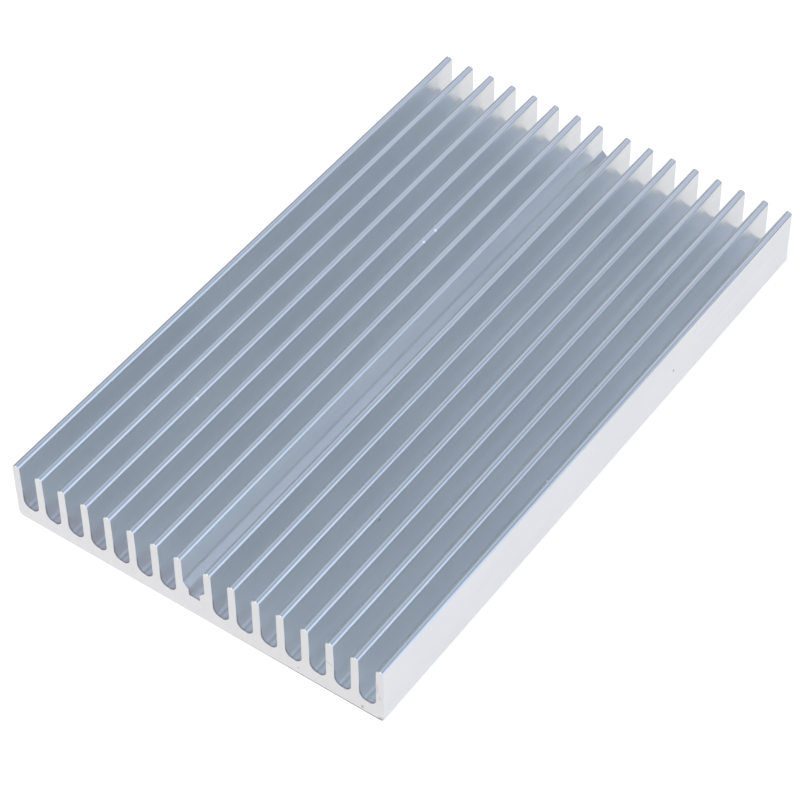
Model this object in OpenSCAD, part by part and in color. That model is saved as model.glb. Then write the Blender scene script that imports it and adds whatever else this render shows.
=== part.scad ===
// Extruded heat sink: one length of aluminium extrusion with two groups of fins,
// full-round slots between them and a stepped channel down the middle.
// X runs across the fins, Y along the extrusion, and the mounting face is at z = 0.

/* [Overall size] */
// Width across the fins
body_w = 60; // [45:0.5:90]
// Length of the cut extrusion
body_l = 100; // [20:1:300]
// Height from the mounting face to the fin tips
body_h = 10; // [8.5:0.5:40]

/* [Base] */
// Thickness of the metal under the slots
base_t = 2.4; // [1.2:0.1:4]
// Radius of the two long edges of the mounting face
base_edge_r = 0.8; // [0.2:0.1:1]

/* [Fins] */
// Number of fins on each side of the channel
fins_per_side = 8; // [3:1:10]
// Thickness of a fin at its tip
fin_tip_t = 1.2; // [0.8:0.05:1.8]
// How much thicker a fin is at the level of the slot floor than at its tip
fin_taper = 0.1; // [0:0.02:0.4]
// Radius of the edges of a fin tip
fin_tip_r = 0.45; // [0.1:0.05:0.55]

/* [Centre channel] */
// Gap between the two middle fins at their tips
channel_w = 3.56; // [2.8:0.02:6]
// Width of the groove in the channel floor
groove_w = 1.76; // [0.8:0.02:2.2]
// Depth of the groove below its two edges
groove_depth = 1.2; // [0.6:0.1:2]
// Height of the groove floor above the floor of the slots
groove_lift = 1.05; // [0:0.05:2]
// Height that each sloped shoulder climbs from the groove to its fin
shoulder_rise = 1; // [0.5:0.1:1.5]
// Radius where a shoulder runs into its fin
shoulder_r = 0.6; // [0.2:0.1:1]
// Radius in the corners of the groove floor
groove_r = 0.25; // [0.1:0.05:0.35]

/* [Hidden] */
$fn = 64;

// Cuts run past the tips and the ends by this much
over = 1;

// Spacing that spreads each group of fins from its side to the channel
group_w = (body_w - channel_w) / 2;
fin_pitch = (group_w - fin_tip_t) / (fins_per_side - 1);
slot_w = fin_pitch - fin_tip_t;

// A tip is never rounded past its own middle
tip_edge_r = min(fin_tip_r, 0.46 * fin_tip_t);

// Each flank of a fin leans by this angle, so that the fin thickens downwards
flank_lean = atan(fin_taper / 2 / (body_h - base_t));

// The round floor of a slot touches both flanks and the base thickness
slot_floor_w = slot_w - 2 * (body_h - base_t) * tan(flank_lean);
slot_r = slot_floor_w / 2 * cos(flank_lean) / (1 - sin(flank_lean));

// Levels in the centre channel
groove_floor = base_t + groove_lift;
groove_top = groove_floor + groove_depth;
shoulder_top = groove_top + shoulder_rise;

// Half the width between two flanks at height z, where they are w apart at the tips
function half_gap(w, z) = w / 2 - (body_h - z) * tan(flank_lean);

function unit(v) = v / norm(v);

// The sliver between the corner at p and an arc of radius r
// that touches the lines from p towards a and from p towards b
module corner_sliver(p, a, b, r) {
    ua = unit(a - p);
    ub = unit(b - p);
    half_angle = acos(ua * ub) / 2;
    reach = r / tan(half_angle);
    centre = p + unit(ua + ub) * r / sin(half_angle);
    difference() {
        polygon([p, p + reach * ua, centre, p + reach * ub]);
        translate(centre) circle(r = r);
    }
}

// Both slivers that round the tip edges beside a gap of width w
module tip_slivers(w) {
    for (side = [-1, 1]) {
        edge = [side * w / 2, body_h];
        corner_sliver(edge, edge + [side, 0], [side * half_gap(w, base_t), base_t], tip_edge_r);
    }
}

// One slot between two fins, about x = 0
module slot_profile() {
    floor_z = base_t + slot_r;
    touch_x = slot_r * cos(flank_lean);
    touch_z = floor_z - slot_r * sin(flank_lean);
    polygon([
        [-touch_x, touch_z],
        [touch_x, touch_z],
        [slot_w / 2, body_h],
        [slot_w / 2, body_h + over],
        [-slot_w / 2, body_h + over],
        [-slot_w / 2, body_h]
    ]);
    translate([0, floor_z]) circle(r = slot_r);
    tip_slivers(slot_w);
}

// The stepped channel between the two groups of fins, about x = 0
module channel_profile() {
    shoulder_x = half_gap(channel_w, shoulder_top);
    difference() {
        polygon([
            [-groove_w / 2, groove_floor],
            [groove_w / 2, groove_floor],
            [groove_w / 2, groove_top],
            [shoulder_x, shoulder_top],
            [channel_w / 2, body_h],
            [channel_w / 2, body_h + over],
            [-channel_w / 2, body_h + over],
            [-channel_w / 2, body_h],
            [-shoulder_x, shoulder_top],
            [-groove_w / 2, groove_top]
        ]);
        for (side = [-1, 1]) {
            shoulder = [side * shoulder_x, shoulder_top];
            groove_edge = [side * groove_w / 2, groove_top];
            groove_corner = [side * groove_w / 2, groove_floor];
            corner_sliver(shoulder, [side * channel_w / 2, body_h], groove_edge, shoulder_r);
            corner_sliver(groove_corner, groove_edge, [0, groove_floor], groove_r);
        }
    }
    tip_slivers(channel_w);
}

// The block that the gaps are cut from, with its four long edges rounded
module block_profile() {
    half_w = body_w / 2;
    difference() {
        translate([-half_w, 0]) square([body_w, body_h]);
        for (side = [-1, 1]) {
            low = [side * half_w, 0];
            high = [side * half_w, body_h];
            corner_sliver(low, high, [0, 0], base_edge_r);
            corner_sliver(high, low, [0, body_h], tip_edge_r);
        }
    }
}

// Cross-section of the extrusion, with the mounting face on y = 0
module extrusion_profile() {
    difference() {
        block_profile();
        for (side = [-1, 1], k = [0 : fins_per_side - 2])
            translate([side * (body_w / 2 - fin_tip_t - slot_w / 2 - k * fin_pitch), 0])
                slot_profile();
        channel_profile();
    }
}

module heat_sink() {
    color("#d5d8dd")
        translate([0, body_l / 2, 0])
            rotate([90, 0, 0])
                linear_extrude(height = body_l)
                    extrusion_profile();
}

heat_sink();
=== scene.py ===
import math
import bmesh
import bpy
from mathutils import Matrix, Vector


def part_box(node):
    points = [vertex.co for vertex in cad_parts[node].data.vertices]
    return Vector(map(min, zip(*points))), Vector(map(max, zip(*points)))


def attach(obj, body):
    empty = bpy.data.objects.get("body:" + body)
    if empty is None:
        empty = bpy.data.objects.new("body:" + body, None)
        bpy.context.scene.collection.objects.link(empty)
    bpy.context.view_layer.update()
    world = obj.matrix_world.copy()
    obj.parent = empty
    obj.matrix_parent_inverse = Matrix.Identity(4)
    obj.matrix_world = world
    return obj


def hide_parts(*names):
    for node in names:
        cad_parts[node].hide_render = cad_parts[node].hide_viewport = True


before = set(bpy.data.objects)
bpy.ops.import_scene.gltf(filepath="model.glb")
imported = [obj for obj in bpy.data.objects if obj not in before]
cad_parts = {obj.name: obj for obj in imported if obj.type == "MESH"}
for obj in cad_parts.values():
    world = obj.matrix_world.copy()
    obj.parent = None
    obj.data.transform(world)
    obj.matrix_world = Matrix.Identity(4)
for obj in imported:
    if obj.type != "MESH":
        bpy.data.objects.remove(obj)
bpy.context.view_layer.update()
low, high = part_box("heat_sink")
centre = (low + high) / 2

# ---------------------------------------------------------------- sizes in metres
MM = 0.001
BODY_W = high.x - low.x
BODY_L = high.y - low.y
BODY_H = high.z - low.z
BASE_T = 2.4 * MM
BASE_EDGE_R = 0.8 * MM
FINS_PER_SIDE = 8
FIN_TIP_T = 1.2 * MM
FIN_TAPER = 0.1 * MM
CHANNEL_W = 3.56 * MM
GROOVE_W = 1.76 * MM
GROOVE_DEPTH = 1.2 * MM
GROOVE_LIFT = 1.05 * MM
GROOVE_R = 0.25 * MM
GROOVE_EDGE_R = 0.06 * MM
END_EDGE = 0.03 * MM

# The fin tips are a little rounder and the shoulders a little flatter than in the solid,
# which puts the highlights in their places.
FIN_TIP_R = 0.52 * MM
FIN_TIP_LEFT_R = 0.62 * MM
SHOULDER_RISE = 0.85 * MM
SHOULDER_R = 0.3 * MM

FIN_PITCH = ((BODY_W - CHANNEL_W) / 2 - FIN_TIP_T) / (FINS_PER_SIDE - 1)
SLOT_W = FIN_PITCH - FIN_TIP_T
FLANK_SLOPE = FIN_TAPER / 2 / (BODY_H - BASE_T)

# Steps along the arcs of the section
EDGE_STEPS = 8
SLOT_STEPS = 12
SHOULDER_STEPS = 6
GROOVE_STEPS = 5
GROOVE_EDGE_STEPS = 2

# Spacing of points on the flats of the section, and beside each arc
FLAT_STEP = 2.2 * MM
ARC_GUARD = 0.05 * MM
SAME_POINT = 1e-7

# Rows along the extrusion: the even ones, the ones near both ends, and the closest spacing
ROW_STEPS = 22
ROW_MARGIN = 3 * MM
END_ROWS = (END_EDGE, 2 * END_EDGE, 0.3 * MM, 1 * MM)
ROW_GAP = 0.07 * MM
NICK_ROWS = (-1.5, -1, -0.5, 0, 0.5, 1, 1.5)

# Fin, distance across its tip, y, height, reach across, half length, depth (millimetres)
# and look of each nick
NICKS = (
    (3, 1.06, -26.8, 9.87, 0.17, 0.17, 0.045, "bright"),
    (5, 1.05, 15.25, 9.88, 0.17, 0.17, 0.050, "bright"),
    (5, 1.04, 18.15, 9.88, 0.17, 0.17, 0.045, "bright"),
    (13, 1.00, -22.9, 9.92, 0.20, 0.20, 0.020, "plain"),
    (15, 0.35, -12.1, 9.95, 0.22, 0.24, 0.020, "dull"),
    (7, 1.19, -45.2, 7.90, 0.22, 0.22, 0.035, "plain"),
    (11, 1.19, -29.3, 8.90, 0.18, 0.20, 0.050, "grey"),
    (15, 1.20, 18.44, 4.82, 0.20, 0.20, 0.070, "dark"),
)


# ---------------------------------------------------------------- cross-section
def half_gap(width, z):
    """Half the gap between two flanks at height z, where they are width apart at the tips."""
    return width / 2 - (BODY_H - z) * FLANK_SLOPE


def slot_floor():
    """Corners on the left side of a slot, about its middle, below the tip."""
    half = half_gap(SLOT_W, BASE_T)
    lean = math.atan(FLANK_SLOPE)
    round_r = half * math.cos(lean) / (1 - math.sin(lean))
    return [(-half, BASE_T, round_r, SLOT_STEPS)]


def channel_floor():
    """Corners on the left side of the centre channel, below the tip."""
    floor = BASE_T + GROOVE_LIFT
    edge = floor + GROOVE_DEPTH
    top = edge + SHOULDER_RISE
    return [
        (-half_gap(CHANNEL_W, top), top, SHOULDER_R, SHOULDER_STEPS),
        (-GROOVE_W / 2, edge, GROOVE_EDGE_R, GROOVE_EDGE_STEPS),
        (-GROOVE_W / 2, floor, GROOVE_R, GROOVE_STEPS),
    ]


def section_corners():
    """Corners of the section, seen from the front, clockwise: (x, z, radius, arc steps)."""
    half_w = BODY_W / 2
    first = -half_w + FIN_TIP_T + SLOT_W / 2
    slots = [first + k * FIN_PITCH for k in range(FINS_PER_SIDE - 1)]
    gaps = [(x, SLOT_W, slot_floor()) for x in slots]
    gaps.append((0.0, CHANNEL_W, channel_floor()))
    gaps += [(-x, SLOT_W, slot_floor()) for x in reversed(slots)]
    corners = [
        (-half_w, 0, BASE_EDGE_R, EDGE_STEPS),
        (-half_w, BODY_H, FIN_TIP_LEFT_R, EDGE_STEPS),
    ]
    for x, gap, floor in gaps:
        left = [(-gap / 2, BODY_H, FIN_TIP_R, EDGE_STEPS)] + floor
        right = [(-a, z, r, n) for a, z, r, n in reversed(floor)]
        right.append((gap / 2, BODY_H, FIN_TIP_LEFT_R, EDGE_STEPS))
        corners += [(x + a, z, r, n) for a, z, r, n in left + right]
    corners += [
        (half_w, BODY_H, FIN_TIP_R, EDGE_STEPS),
        (half_w, 0, BASE_EDGE_R, EDGE_STEPS),
    ]
    return corners


def rounded_corner(before, corner, after):
    """Points and outward normals along the arc that rounds one corner."""
    x, z, r, steps = corner
    p = Vector((x, z))
    a = (Vector(before[:2]) - p).normalized()
    b = (Vector(after[:2]) - p).normalized()
    half = a.angle(b) / 2
    middle = p + (a + b).normalized() * r / math.sin(half)
    reach = r / math.tan(half)
    start = p + a * reach - middle
    turn = math.pi - 2 * half
    if start.y * a.x - start.x * a.y < 0:
        turn = -turn
    outward = 1 if turn < 0 else -1
    arc = []
    for k in range(steps + 1):
        c, s = math.cos(turn * k / steps), math.sin(turn * k / steps)
        spoke = Vector((start.x * c - start.y * s, start.x * s + start.y * c))
        arc.append((middle + spoke, spoke.normalized() * outward))
    return arc


def section_points():
    """The rounded outline as (point, outward normal) pairs."""
    corners = section_corners()
    outline = []
    for i, corner in enumerate(corners):
        outline += rounded_corner(corners[i - 1], corner, corners[(i + 1) % len(corners)])
    # Points close to each arc keep the long flats flat, and spare points divide them.
    result = []
    for i, (p, n) in enumerate(outline):
        q, m = outline[(i + 1) % len(outline)]
        length = (q - p).length
        if length < SAME_POINT:
            continue
        result.append((p, n))
        if length > 6 * ARC_GUARD and n.dot(m) > 0.999:
            parts = max(1, round(length / FLAT_STEP))
            stops = [ARC_GUARD / length]
            stops += [k / parts for k in range(1, parts)]
            stops += [1 - ARC_GUARD / length]
            result += [(p.lerp(q, stop), n) for stop in stops]
    return result


# ---------------------------------------------------------------- small damage
def fin_left(k):
    """X of the left side of fin k, counted from the left."""
    if k < FINS_PER_SIDE:
        return -BODY_W / 2 + k * FIN_PITCH
    return BODY_W / 2 - (2 * FINS_PER_SIDE - 1 - k) * FIN_PITCH - FIN_TIP_T


def nicks():
    """The nicks in metres: middle of each in the section, its y, reach, half length and depth."""
    for fin, across, y, z, *sizes, _ in NICKS:
        middle = Vector((fin_left(fin) + across * MM, z * MM))
        yield middle, y * MM, *[size * MM for size in sizes]


def dent(p, y):
    """How far the surface at p is pushed in."""
    depth = 0.0
    for middle, at, reach, half_length, deep in nicks():
        across = (p - middle).length / reach
        along = abs(y - at) / half_length
        if across < 1 and along < 1:
            depth = max(depth, deep * (1 - across ** 2) * (1 - along ** 2))
    return depth


# ---------------------------------------------------------------- the extrusion as a mesh
def stations():
    """Places along Y, from the front end to the rear end, with the inset of the outline there."""
    half = BODY_L / 2
    span = BODY_L - 2 * ROW_MARGIN
    inner = {round(-half + ROW_MARGIN + k * span / ROW_STEPS, 6) for k in range(ROW_STEPS + 1)}
    for _, at, _, half_length, _ in nicks():
        inner |= {round(at + half_length * k, 6) for k in NICK_ROWS}
    kept = []
    for y in sorted(inner):
        if not kept or y - kept[-1] > ROW_GAP:
            kept.append(y)
    rows = [(-half, END_EDGE)] + [(-half + d, 0.0) for d in END_ROWS]
    rows += [(y, 0.0) for y in kept]
    rows += [(half - d, 0.0) for d in reversed(END_ROWS)] + [(half, END_EDGE)]
    return rows


def make_extrusion():
    """The heat sink as one closed mesh, with the sawn ends in a second material."""
    outline = section_points()
    count = len(outline)
    bm = bmesh.new()
    rings = []
    for y, inset in stations():
        ring = []
        for p, n in outline:
            inward = inset + dent(p, y)
            ring.append(bm.verts.new((p.x - n.x * inward, y, p.y - n.y * inward)))
        rings.append(ring)
    for front, back in zip(rings, rings[1:]):
        for i in range(count):
            j = (i + 1) % count
            bm.faces.new((front[j], front[i], back[i], back[j]))
    caps = [bm.faces.new(rings[0]), bm.faces.new(list(reversed(rings[-1])))]
    bmesh.ops.recalc_face_normals(bm, faces=bm.faces)
    for face in bm.faces:
        face.smooth = True
    for cap in caps:
        cap.material_index = 1
        cap.smooth = False
        for edge in cap.edges:
            edge.smooth = False
    bmesh.ops.triangulate(bm, faces=caps)
    mesh = bpy.data.meshes.new("heat_sink_metal")
    bm.to_mesh(mesh)
    bm.free()
    piece = bpy.data.objects.new("heat_sink_metal", mesh)
    bpy.context.scene.collection.objects.link(piece)
    return piece


# ---------------------------------------------------------------- node helpers
class Tree:
    """A short way to write a shader node tree."""

    def __init__(self, tree):
        self.tree = tree
        self.tree.nodes.clear()

    def join(self, a, b):
        self.tree.links.new(a, b)

    def feed(self, socket, value):
        """Link a socket to the input, or set the input to a value."""
        if isinstance(value, bpy.types.NodeSocket):
            self.join(value, socket)
        elif socket.type == "RGBA":
            socket.default_value = (*value[:3], 1)
        else:
            socket.default_value = value

    def node(self, kind, inputs=None, **settings):
        made = self.tree.nodes.new("ShaderNode" + kind)
        for name, value in settings.items():
            setattr(made, name, value)
        for name, value in (inputs or {}).items():
            self.feed(made.inputs[name], value)
        return made

    def math(self, operation, *values, clamp=False):
        made = self.node("Math", operation=operation, use_clamp=clamp)
        for socket, value in zip(made.inputs, values):
            self.feed(socket, value)
        return made.outputs[0]

    def vector(self, operation, a, b):
        return self.node("VectorMath", {0: a, 1: b}, operation=operation).outputs[0]

    def product(self, first, *others):
        for other in others:
            first = self.math("MULTIPLY", first, other)
        return first

    def ramp(self, value, start, end):
        """0 at start and below, 1 at end and beyond, with a soft course between."""
        settings = {"Value": value, "From Min": start, "From Max": end}
        return self.node("MapRange", settings, interpolation_type="SMOOTHSTEP").outputs[0]

    def blend(self, factor, a, b):
        """Colour a where the factor is 0 and colour b where it is 1."""
        made = self.node("Mix", data_type="RGBA")
        for index, value in ((0, factor), (6, a), (7, b)):
            self.feed(made.inputs[index], value)
        return made.outputs[2]


def new_material(name):
    material = bpy.data.materials.new(name)
    material.use_nodes = True
    return material, Tree(material.node_tree)


def place_in_mm(t):
    """Place on the part in millimetres, as one vector and as x, y, z."""
    place = t.vector("MULTIPLY", t.node("TexCoord").outputs["Object"], (1000, 1000, 1000))
    return place, t.node("SeparateXYZ", {0: place}).outputs


def stretched_noise(t, place, stretch, detail, roughness=0.5):
    settings = {
        "Vector": t.vector("MULTIPLY", place, stretch),
        "Scale": 1.0,
        "Detail": detail,
        "Roughness": roughness,
    }
    return t.node("TexNoise", settings).outputs["Fac"]


def turned_about_y(t, vector, angle):
    settings = {"Vector": vector, "Axis": (0, 1, 0), "Angle": angle}
    return t.node("VectorRotate", settings).outputs[0]


def spot(t, place, middle, inner, outer, squash=(1, 1, 1)):
    """1 inside a soft-edged spot and 0 outside it, in millimetres."""
    shaped = t.vector("MULTIPLY", t.vector("SUBTRACT", place, middle), squash)
    far = t.node("VectorMath", {0: shaped}, operation="LENGTH").outputs["Value"]
    return t.ramp(far, outer, inner)


def nick_spots(t, place, look, inner, outer):
    """1 in the nicks that have this look and 0 elsewhere."""
    mask = 0.0
    for fin, across, y, z, *_, kind in NICKS:
        if kind == look:
            middle = (fin_left(fin) / MM + across, y, z)
            mask = t.math("MAXIMUM", mask, spot(t, place, middle, inner, outer))
    return mask


# ---------------------------------------------------------------- extruded skin
# Every place in this section is in millimetres. Noises are in waves per millimetre.
DIE_LINES = (5.5, 0.012, 5.5)
SCUFFS = (16.0, 0.05, 16.0)
CLOUDS = (0.16, 0.07, 0.16)
BRIGHT_METAL = (0.943, 0.962, 0.970)
CLOUDED_METAL = (0.913, 0.935, 0.947)
LINED_METAL = (0.86, 0.875, 0.895)
# Colours of the painted shade in the slot mouths, on their front rim and along the leftmost fin
PAINTED_MOUTH_SHADE = (0.82, 0.785, 0.80)
PAINTED_RIM_SHADE = (0.50, 0.47, 0.50)
PAINTED_EDGE_SHADE = (0.50, 0.48, 0.55)

# The tips' normals turn about Y by this much at x = 0, per millimetre of x and at the rear
LEAN_MIDDLE = -0.06
LEAN_PER_MM = -0.0024
LEAN_REAR = -0.06
FACET_NORMAL = (0.748, -0.333, 0.576)
# Distance across each right-hand fin of the painted dark reflection line on its tip
DARK_LINE_ACROSS = 0.93


def painted_shade(t, colour, axes, cloud):
    """Painted shade low in the slot mouths, on their front rim and along the leftmost fin's top
    edge.
    """
    x, y, z = axes
    inside = t.product(t.ramp(z, 1.6, 2.2), t.ramp(t.math("ABSOLUTE", x), 29.4, 29.0))
    # Painted shade: the colour darkens in patches low in the slots towards the front end.
    low_in_mouth = t.product(t.ramp(z, 6.4, 3.4), t.ramp(y, -44.5, -49.6))
    patchy = t.math("MULTIPLY_ADD", cloud, 0.5, 0.55)
    mouth_shade = t.product(low_in_mouth, inside, t.ramp(x, 46, -24), patchy)
    # Painted shade: a dark rim low along the front edge of the slots.
    rim_shade = t.product(t.ramp(z, 5.6, 4.4), t.ramp(y, -49.62, -49.86), inside, 0.8)
    # Painted shade: a dark reflection line along the top-left edge of the leftmost fin.
    left_edge_shade = t.product(t.ramp(x, -29.45, -29.75), t.ramp(z, 8.6, 9.3), 0.75)
    colour = t.blend(mouth_shade, colour, PAINTED_MOUTH_SHADE)
    colour = t.blend(rim_shade, colour, PAINTED_RIM_SHADE)
    return t.blend(left_edge_shade, colour, PAINTED_EDGE_SHADE)


def pits(t, place):
    """A tiny pit in one of ten cells of the surface."""
    cells = t.node("TexVoronoi", {"Vector": place, "Scale": 0.34}, feature="F1")
    lottery = t.node("SeparateColor", {0: cells.outputs["Color"]}).outputs[0]
    return t.product(t.ramp(cells.outputs["Distance"], 0.045, 0.02), t.ramp(lottery, 0.90, 0.91))


def painted_dark_tip_line(t, axes):
    """A painted dark reflection line along the tips of the right-hand fins that fades towards both
    ends.
    """
    x, y, z = axes
    across = t.math("MODULO", t.math("SUBTRACT", x, fin_left(8) / MM), FIN_PITCH / MM)
    line = t.ramp(t.math("ABSOLUTE", t.math("SUBTRACT", across, DARK_LINE_ACROSS)), 0.10, 0.03)
    on_right_tips = t.product(t.ramp(z, 9.6, 9.8), t.ramp(x, 1, 6))
    return t.product(line, on_right_tips, t.product(t.ramp(y, -42, -16), t.ramp(y, 42, 28)))


def skin_normal(t, place, axes, lines):
    """Die lines as bump, tips that lean to the left, and a facet in each bright nick."""
    x, y, z = axes
    bump = t.node("Bump", {"Strength": 0.22, "Distance": 0.006 * MM, "Height": lines}).outputs[0]
    lean = t.math("MULTIPLY_ADD", x, LEAN_PER_MM, LEAN_MIDDLE)
    lean = t.math("MULTIPLY_ADD", t.ramp(y, 28, 42), LEAN_REAR, lean)
    lean = t.product(lean, t.ramp(z, 9.2, 9.5))
    leant = turned_about_y(t, bump, lean)
    facet = t.node("Mix", {0: nick_spots(t, place, "bright", 0.12, 0.26)}, data_type="VECTOR")
    t.feed(facet.inputs[4], leant)
    t.feed(facet.inputs[5], FACET_NORMAL)
    return t.node("VectorMath", {0: facet.outputs[1]}, operation="NORMALIZE").outputs[0]


def extruded_skin():
    """Bright extruded aluminium with die lines along Y, clouding, pits, nicks, painted shade and a
    painted dark tip line.
    """
    material, t = new_material("extruded_skin")
    place, axes = place_in_mm(t)
    z = axes[2]
    lines = stretched_noise(t, place, DIE_LINES, 3.0, 0.6)
    fine = stretched_noise(t, place, SCUFFS, 0.0)
    cloud = stretched_noise(t, place, CLOUDS, 2.0, 0.55)
    under = t.ramp(z, 0.06, 0.02)
    scuff = t.product(under, t.ramp(fine, 0.5, 0.75))
    fresh = nick_spots(t, place, "dull", 0.08, 0.24)

    colour = t.blend(t.ramp(cloud, 0.3, 0.7), BRIGHT_METAL, CLOUDED_METAL)
    colour = t.blend(t.product(t.ramp(lines, 0.52, 0.72), 0.45), colour, LINED_METAL)
    # Painted shade in the slot mouths and along the leftmost fin's top edge
    colour = painted_shade(t, colour, axes, cloud)
    for mask, tint in (
        (t.product(scuff, 0.6), (0.80, 0.81, 0.82)),
        (t.product(pits(t, place), 0.7), (0.42, 0.42, 0.44)),
        (nick_spots(t, place, "dark", 0.10, 0.24), (0.16, 0.14, 0.16)),
        (nick_spots(t, place, "grey", 0.10, 0.24), (0.34, 0.34, 0.36)),
        (t.product(fresh, 0.7), (0.97, 0.97, 0.98)),
        # Painted shade: a dark reflection line along the right-hand fin tips
        (t.product(painted_dark_tip_line(t, axes), 0.7), (0.62, 0.65, 0.70)),
    ):
        colour = t.blend(mask, colour, tint)

    roughness = 0.215
    for mask, share in (
        (t.math("SUBTRACT", lines, 0.5), 0.10),
        (t.math("SUBTRACT", cloud, 0.5), 0.07),
        (fresh, 0.16),
        (scuff, 0.12),
        (under, 0.05),
    ):
        roughness = t.math("MULTIPLY_ADD", mask, share, roughness)

    across_lines = t.node("VectorMath", {
        0: t.node("NewGeometry").outputs["Normal"],
        1: (0, 1, 0),
    }, operation="CROSS_PRODUCT")
    skin = t.node("BsdfPrincipled", {
        "Base Color": colour,
        "Metallic": t.math("MULTIPLY_ADD", fresh, -0.5, 0.86),
        "Roughness": roughness,
        "Anisotropic": 0.5,
        "Tangent": across_lines.outputs[0],
        "Normal": skin_normal(t, place, axes, lines),
    })
    t.join(skin.outputs[0], t.node("OutputMaterial").inputs[0])
    return material


# ---------------------------------------------------------------- sawn ends
# Middle in millimetres, inner and outer radius, squash, turn in degrees, tint and strength
STAINS = (
    ((21.66, -50, 5.94), 0.25, 1.0, (0.95, 1, 5.5), 24, (0.45, 0.44, 0.46), 0.7),
    ((26.65, -50, 0.85), 0.12, 0.34, (1.2, 1, 0.8), 0, (0.46, 0.36, 0.33), 0.8),
    ((28.95, -50, 6.3), 0.1, 0.95, (2.4, 1, 0.62), 0, (0.55, 0.53, 0.57), 0.55),
    ((29.35, -50, 4.6), 0.1, 0.8, (2.2, 1, 1.0), 0, (0.58, 0.56, 0.58), 0.4),
    ((29.55, -50, 0.25), 0.1, 0.75, (1.0, 1, 1.0), 0, (0.33, 0.32, 0.33), 0.75),
    ((16.6, -50, 1.2), 0.05, 0.3, (1.0, 1, 1.0), 0, (0.55, 0.55, 0.56), 0.6),
)
SAW_ANGLE = math.radians(14)
SAW_LINES = (4.5, 1.0, 0.16)
END_CLOUDS = (0.5, 1.0, 0.5)
FRAY = (1.3, 1.0, 1.3)
# Colours of the end face on the left and the right: painted light, lighter on the left
PALE_LEFT = (0.935, 0.945, 0.962)
PALE_RIGHT = (0.89, 0.90, 0.91)


def sawn_end():
    """Pale matte metal with saw lines, painted lighter on the left, a dark line along the lower
    edge and a few stains.
    """
    material, t = new_material("sawn_end")
    place, (x, y, z) = place_in_mm(t)
    turned = turned_about_y(t, place, SAW_ANGLE)
    lines = stretched_noise(t, turned, SAW_LINES, 3.0, 0.65)
    cloud = stretched_noise(t, place, END_CLOUDS, 3.0, 0.6)
    fray = stretched_noise(t, place, FRAY, 4.0, 0.7)

    # Painted light: the face is painted lighter towards the left than towards the right.
    colour = t.blend(t.ramp(x, -32, 30), PALE_LEFT, PALE_RIGHT)
    colour = t.blend(t.product(t.ramp(lines, 0.35, 0.7), 0.5), colour, (0.86, 0.865, 0.87))
    colour = t.blend(t.product(t.ramp(cloud, 0.45, 0.75), 0.5), colour, (0.86, 0.86, 0.865))
    # A dark frayed line along the lower edge, on the right half of the face.
    frayed_height = t.math("MULTIPLY_ADD", fray, -0.34, z)
    front_right = t.product(t.ramp(x, 2, 22), t.ramp(y, 0, -1))
    dark_lower_edge = t.product(t.ramp(frayed_height, 0.16, 0.0), front_right, 0.85)
    colour = t.blend(dark_lower_edge, colour, (0.36, 0.35, 0.36))
    for middle, inner, outer, squash, turn, tint, strength in STAINS:
        moved = t.vector("SUBTRACT", place, middle)
        if turn:
            moved = turned_about_y(t, moved, math.radians(-turn))
        mark = spot(t, moved, (0, 0, 0), inner, outer, squash)
        mark = t.product(mark, t.ramp(fray, 0.2, 0.6), strength)
        colour = t.blend(mark, colour, tint)

    bump = t.node("Bump", {"Strength": 0.35, "Distance": 0.01 * MM, "Height": lines})
    face = t.node("BsdfPrincipled", {
        "Base Color": colour,
        "Metallic": 1.0,
        "Roughness": t.math("MULTIPLY_ADD", lines, 0.14, 0.36),
        "Normal": bump.outputs[0],
    })
    t.join(face.outputs[0], t.node("OutputMaterial").inputs[0])
    return material


# ---------------------------------------------------------------- camera
CAMERA_AZIMUTH = math.radians(35.805)
CAMERA_ELEVATION = math.radians(47.419)
CAMERA_ROLL = math.radians(-0.622)
CAMERA_DISTANCE = 0.39282
CAMERA_LENS = 128.08
AIM_LEFT = 0.002450
AIM_DOWN = 0.005705


def make_camera():
    """The view of the photograph. Azimuth 0 looks along +Y, and the camera goes round to +X."""
    back = Vector((
        math.sin(CAMERA_AZIMUTH) * math.cos(CAMERA_ELEVATION),
        -math.cos(CAMERA_AZIMUTH) * math.cos(CAMERA_ELEVATION),
        math.sin(CAMERA_ELEVATION),
    ))
    level_right = (-back).cross(Vector((0, 0, 1))).normalized()
    level_up = level_right.cross(-back)
    right = level_right * math.cos(CAMERA_ROLL) + level_up * math.sin(CAMERA_ROLL)
    up = right.cross(-back)
    data = bpy.data.cameras.new("camera")
    data.sensor_width = 36
    data.lens = CAMERA_LENS
    data.clip_start = 0.01
    data.clip_end = 20
    camera = bpy.data.objects.new("camera", data)
    bpy.context.scene.collection.objects.link(camera)
    camera.location = centre - AIM_LEFT * right - AIM_DOWN * up + back * CAMERA_DISTANCE
    camera.rotation_mode = "QUATERNION"
    camera.rotation_quaternion = Matrix((right, up, back)).transposed().to_quaternion()
    bpy.context.scene.camera = camera


# ---------------------------------------------------------------- floor, world and lamp
FLOOR_HALF = 3.0
FLOOR_GAP = 0.0001


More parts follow.
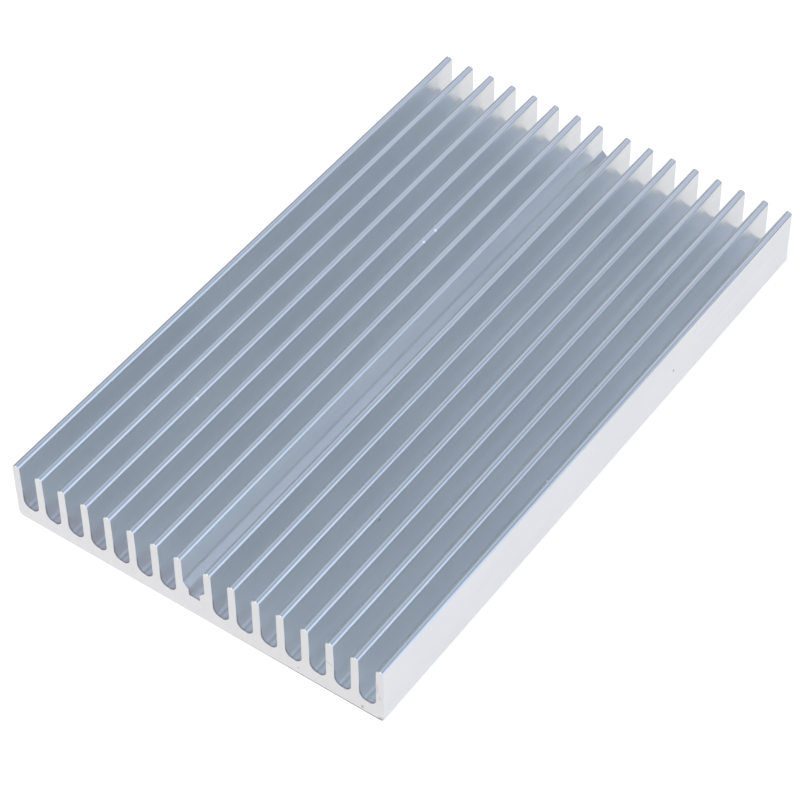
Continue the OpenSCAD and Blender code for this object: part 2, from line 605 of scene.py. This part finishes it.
def make_floor():
    """A pale floor that takes the shadow and shows itself to mirror rays at an even brightness."""
    r = FLOOR_HALF
    mesh = bpy.data.meshes.new("floor")
    mesh.from_pydata([(-r, -r, 0), (r, -r, 0), (r, r, 0), (-r, r, 0)], [], [(0, 1, 2, 3)])
    floor = bpy.data.objects.new("floor", mesh)
    bpy.context.scene.collection.objects.link(floor)
    floor.location.z = low.z - FLOOR_GAP
    material, t = new_material("white_floor")
    path = t.node("LightPath").outputs
    diffuse = t.node("BsdfDiffuse", {"Color": (0.9, 0.87, 0.84)})
    seen = t.product(path["Is Camera Ray"], 0.5)
    glow = t.node("Emission", {"Color": (1, 1, 1), "Strength": seen})
    lit = t.node("AddShader", {0: diffuse.outputs[0], 1: glow.outputs[0]})
    even = t.node("Emission", {"Color": (0.92, 0.90, 0.895), "Strength": 1.0})
    both = t.node("MixShader", {
        0: t.product(path["Is Glossy Ray"], 0.75),
        1: lit.outputs[0],
        2: even.outputs[0],
    })
    t.join(both.outputs[0], t.node("OutputMaterial").inputs[0])
    mesh.materials.append(material)


# Colours of the studio from the left (0) over the top (0.5) to the right (1)
FRONT_SKY = (
    (0.00, (0.10, 0.14, 0.19)),
    (0.05, (0.22, 0.28, 0.34)),
    (0.15, (0.42, 0.48, 0.56)),
    (0.25, (0.50, 0.56, 0.67)),
    (0.37, (0.38, 0.44, 0.53)),
    (0.46, (0.22, 0.29, 0.37)),
    (0.54, (0.17, 0.23, 0.31)),
    (0.62, (0.27, 0.35, 0.47)),
    (0.75, (0.50, 0.60, 0.75)),
    (0.86, (0.65, 0.765, 0.96)),
    (0.94, (0.77, 0.91, 1.16)),
    (1.00, (0.86, 1.02, 1.38)),
)
REAR_SKY = (
    (0.00, (0.15, 0.18, 0.19)),
    (0.05, (0.25, 0.30, 0.34)),
    (0.15, (0.42, 0.48, 0.56)),
    (0.25, (0.49, 0.55, 0.66)),
    (0.37, (0.44, 0.50, 0.60)),
    (0.46, (0.33, 0.40, 0.50)),
    (0.54, (0.27, 0.34, 0.45)),
    (0.62, (0.35, 0.42, 0.56)),
    (0.75, (0.46, 0.53, 0.68)),
    (0.85, (0.46, 0.54, 0.69)),
    (0.93, (0.29, 0.34, 0.44)),
    (1.00, (0.21, 0.25, 0.31)),
)
# Factor and offset on y of the direction: the rear colours come in from 0.49 to 0.62,
# and the far end is from 0.585 to 0.635.
REAR_FADE = (7.7, -3.77)
FAR_FADE = (20.0, -11.7)


def colour_ramp(t, place, stops):
    ramp = t.node("ValToRGB", {0: place})
    elements = ramp.color_ramp.elements
    for _ in stops[len(elements):]:
        elements.new(1)
    for element, (position, colour) in zip(elements, stops):
        element.position = position
        element.color = (*colour, 1)
    return ramp.outputs[0]


def make_world():
    """A pale wall on the left, a darker ceiling and daylight from the right, fading rearward."""
    world = bpy.data.worlds.new("studio")
    bpy.context.scene.world = world
    world.use_nodes = True
    t = Tree(world.node_tree)
    x, y, z = t.node("SeparateXYZ", {0: t.node("TexCoord").outputs["Generated"]}).outputs
    reach = t.math("SQRT", t.math("ADD", t.product(x, x), t.product(z, z)))
    sideways = t.math("MULTIPLY_ADD", t.math("DIVIDE", x, reach), 0.5, 0.5)
    front = colour_ramp(t, sideways, FRONT_SKY)
    rear = colour_ramp(t, sideways, REAR_SKY)
    colour = t.blend(t.math("MULTIPLY_ADD", y, *REAR_FADE, clamp=True), front, rear)

    far_end = t.math("MULTIPLY_ADD", y, *FAR_FADE, clamp=True)
    dim_corner = t.product(t.ramp(sideways, 0.84, 0.94), t.product(far_end, 0.85))
    colour = t.blend(dim_corner, colour, (0.15, 0.18, 0.24))
    colour = t.blend(far_end, colour, t.vector("MULTIPLY", colour, (1.10, 1.02, 1.0)))
    strength = t.math("MULTIPLY_ADD", far_end, 0.18, 1.0)
    sky = t.node("Background", {"Color": colour, "Strength": strength})
    white = t.node("Background", {"Color": (1, 1, 1), "Strength": 1.0})
    both = t.node("MixShader", {
        0: t.node("LightPath").outputs["Is Camera Ray"],
        1: sky.outputs[0],
        2: white.outputs[0],
    })
    t.join(both.outputs[0], t.node("OutputWorld").inputs[0])


def softbox(name, azimuth, elevation, distance, size, radiance, colour):
    """A square lamp that faces the object. Azimuth 0 stands behind it on +Y and 90 on +X."""
    data = bpy.data.lights.new(name, "AREA")
    data.shape = "SQUARE"
    data.size = size
    data.energy = radiance * math.pi * size * size
    data.color = colour
    lamp = bpy.data.objects.new(name, data)
    bpy.context.scene.collection.objects.link(lamp)
    a, e = math.radians(azimuth), math.radians(elevation)
    direction = Vector((math.sin(a) * math.cos(e), math.cos(a) * math.cos(e), math.sin(e)))
    lamp.location = centre + direction * distance
    lamp.rotation_mode = "QUATERNION"
    lamp.rotation_quaternion = direction.to_track_quat("Z", "Y")


# ---------------------------------------------------------------- the scene
bpy.context.scene.view_settings.view_transform = "Standard"
bpy.context.scene.cycles.glossy_bounces = 9
make_camera()
sink = make_extrusion()
sink.data.materials.append(extruded_skin())
sink.data.materials.append(sawn_end())
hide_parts("heat_sink")
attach(sink, "root")
make_floor()
make_world()
softbox("key", azimuth=200, elevation=60, distance=1.2, size=1.2, radiance=1.5,
        colour=(1.1, 1.0, 0.88))
